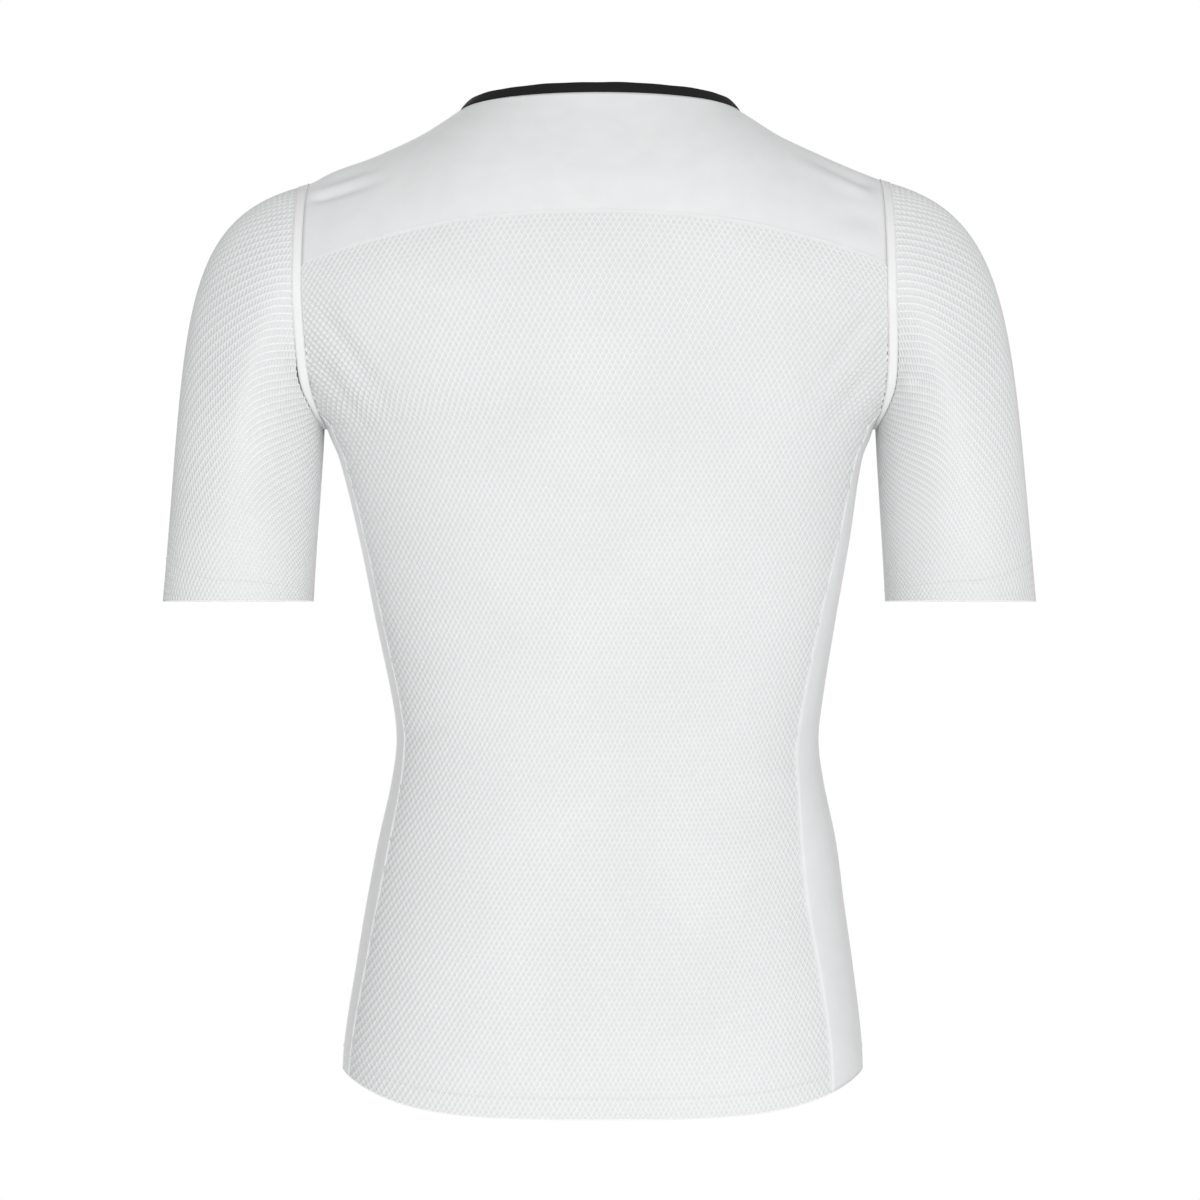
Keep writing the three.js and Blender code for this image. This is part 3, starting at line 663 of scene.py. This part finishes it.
for word, left in (("Left", True), ("Right", False)):
    low = word.lower()
    side = 1 if left else -1
    panel, p, n = smoothPanel("side" + word, sideSurface(left), plainKnit, 41, 121)
    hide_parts("side_panel_" + low)
    hemRows.append((p[:, int(round(hemShare * (p.shape[1] - 1)))], n[:, 0]))
    edges.append((p[:, 0], n[:, 0]))
    seamRows += [(p[0], n[0]), (p[-1], n[-1])]
    sleeve, p, n = meshPanel("sleeve" + word, sleeveSurface(left), meshKnit, sleeveKnit,
                             closed=True)
    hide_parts("sleeve_" + low)
    hemRows.append((p[:, -13], n[:, -13]))
    edges.append((p[:, -1], n[:, -1]))
    # raised flat band over the armhole seam: a low crown across, closed round the armhole
    points, turn = armholeEdge(left, 60)
    ring = np.concatenate([points, points[:1]])
    across = seamAcross(ring, np.concatenate([turn, turn[:1]]), side)
    along = np.gradient(ring, axis=0)
    along[0] = along[-1] = ring[1] - ring[-2]
    outward = np.cross(along, across)
    outward /= np.linalg.norm(outward, axis=1, keepdims=True)
    middle = ring.mean(0)
    if np.sum(outward * (ring - middle)) < 0:
        outward = -outward
    columns = tape["columns"]
    s = np.linspace(tape["from"], tape["to"], columns)[None, :, None]
    crown = tape["crown"] * (1 - (2 * s - 1)**8 * tape["edge"])
    band = ring[:, None] + across[:, None] * s + outward[:, None] * crown
    bandUv = np.stack(np.meshgrid(np.linspace(0, tape["long"], len(ring)),
                                  np.linspace(0, tape["across"], columns), indexing="ij"), -1)
    seamBand = makeMesh("armholeTape" + word, band.reshape(-1, 3), gridFaces(len(ring), columns),
                        seamTape, bandUv.reshape(-1, 2))
    faceOut(seamBand, band, np.repeat(outward[:, None], columns, 1))
    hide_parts("armhole_seam_" + low)
    for place in (1, columns - 2):
        seamRows.append((band[:, place], outward))
    print("side", low, "made")

# neckband: stands on the neck edge, a doubled binding with a round top, 8 mm high and 2 mm thick
neck = {"leanSide": 45, "leanBack": 68, "leanFront": 60, "inward": 1.2, "columns": 241, "rows": 25,
        "middleUp": 3.9, "halfHigh": 4.1, "middleIn": 1.0, "halfThick": 1.05, "uvRound": 76,
        "uvAcross": 3}
angle = np.linspace(0, 2 * np.pi, neck["columns"])
s = np.sin(angle)
lean = np.radians(np.where(s > 0, mix(neck["leanSide"], neck["leanBack"], np.abs(s)),
                           mix(neck["leanSide"], neck["leanFront"], np.abs(s))))
inward = np.stack([-np.cos(angle), -neck["inward"] * s, 0 * s], -1)
inward /= np.linalg.norm(inward, axis=1, keepdims=True)
rise = inward * np.cos(lean)[:, None] + np.array([0, 0, 1]) * np.sin(lean)[:, None]
thick = inward * np.sin(lean)[:, None] - np.array([0, 0, 1]) * np.cos(lean)[:, None]
profile = np.linspace(0, 2 * np.pi, neck["rows"])
# section: a tall rounded bar, cosine for height and the root of the sine for thickness
up = neck["middleUp"] - neck["halfHigh"] * np.cos(profile)
outIn = neck["middleIn"] - neck["halfThick"] * np.sign(np.sin(profile)) * np.abs(np.sin(profile))**0.5
wobble = 0.25 * np.sin(11 * angle + 1) + 0.2 * np.sin(23 * angle)
bandUp = (up[None, :] + wobble[:, None] * 0.5)[..., None]
bandP = neckPoint(angle)[:, None] + rise[:, None] * bandUp + thick[:, None] * outIn[None, :, None]
neckUv = np.stack(np.meshgrid(angle * neck["uvRound"], profile * neck["uvAcross"], indexing="ij"), -1)
neckband = makeMesh("neckBinding", bandP.reshape(-1, 3), gridFaces(neck["columns"], neck["rows"]),
                    neckRib, neckUv.reshape(-1, 2))
faceOut(neckband, bandP, (bandP - bandP.mean(1, keepdims=True)))
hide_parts("neckband")

stitchLook = {"every": 2.5, "long": 2.1, "thick": 0.5, "rise": 0.25, "slant": 0.0,
              "slot": "seam_tape"}
stitches("hemStitches", hemRows, thread, stitchLook)
flatLook = {"every": 1.3, "long": 1.9, "thick": 0.45, "rise": 0.3, "slant": 0.9,
            "slot": "seam_tape"}
stitches("seamStitches", seamRows, thread, flatLook)
edgeLook = {"every": 1.0, "long": 2.4, "thick": 1.3, "rise": -0.5, "slant": 0.0,
            "slot": "mesh_knit"}
stitches("foldedEdges", edges, thread, edgeLook)
print("stitches made")

# camera behind the garment, in metres
view = {"distance": 2.4, "height": -0.329, "frame": 0.7985}
cameraData = bpy.data.cameras.new("camera")
cameraData.sensor_width = 36
cameraData.lens = 36 * view["distance"] / view["frame"]
camera = bpy.data.objects.new("camera", cameraData)
camera.location = (0, view["distance"], view["height"])
camera.rotation_euler = (np.pi / 2, 0, np.pi)
bpy.context.scene.collection.objects.link(camera)
bpy.context.scene.camera = camera


def addSun(name, toward, strength, spread):
    data = bpy.data.lights.new(name, "SUN")
    data.energy, data.angle = strength, np.radians(spread)
    lamp = bpy.data.objects.new(name, data)
    lamp.rotation_euler = Vector(toward).to_track_quat("-Z", "Y").to_euler()
    bpy.context.scene.collection.objects.link(lamp)


addSun("softBehind", (0.1, -1, -0.05), 1.82, 50)
addSun("softFront", (-0.1, 1, -0.05), 1.85, 50)

world = bpy.data.worlds.new("studio")
world.use_nodes = True
sky = world.node_tree
ground = sky.nodes["Background"]
ground.inputs["Color"].default_value = (0.45, 0.451, 0.453, 1)
white = addNode(sky, "ShaderNodeBackground", Color=(1, 1, 1, 1), Strength=1.0)
path = addNode(sky, "ShaderNodeLightPath")
choice = addNode(sky, "ShaderNodeMixShader")
sky.links.new(path.outputs["Is Camera Ray"], choice.inputs["Fac"])
sky.links.new(ground.outputs["Background"], choice.inputs[1])
sky.links.new(white.outputs["Background"], choice.inputs[2])
sky.links.new(choice.outputs["Shader"], sky.nodes["World Output"].inputs["Surface"])
bpy.context.scene.world = world
bpy.context.scene.view_settings.view_transform = "Standard"

floorMaterial, _, floorShader = newMaterial("paleFloor", (0.9, 0.9, 0.9), 0.9, 0)
floorShader.inputs["Emission Color"].default_value = (1, 1, 1, 1)
floorShader.inputs["Emission Strength"].default_value = 0.3
half, below = 1.2, 0.7
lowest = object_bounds()[0][2] - below
floorMesh = bpy.data.meshes.new("floor")
floorMesh.from_pydata([(-half, -half, lowest), (half, -half, lowest), (half, half, lowest),
                       (-half, half, lowest)], [], [(0, 1, 2, 3)])
floorMesh.materials.append(floorMaterial)
floor = bpy.data.objects.new("floor", floorMesh)
bpy.context.scene.collection.objects.link(floor)

print("scene made")
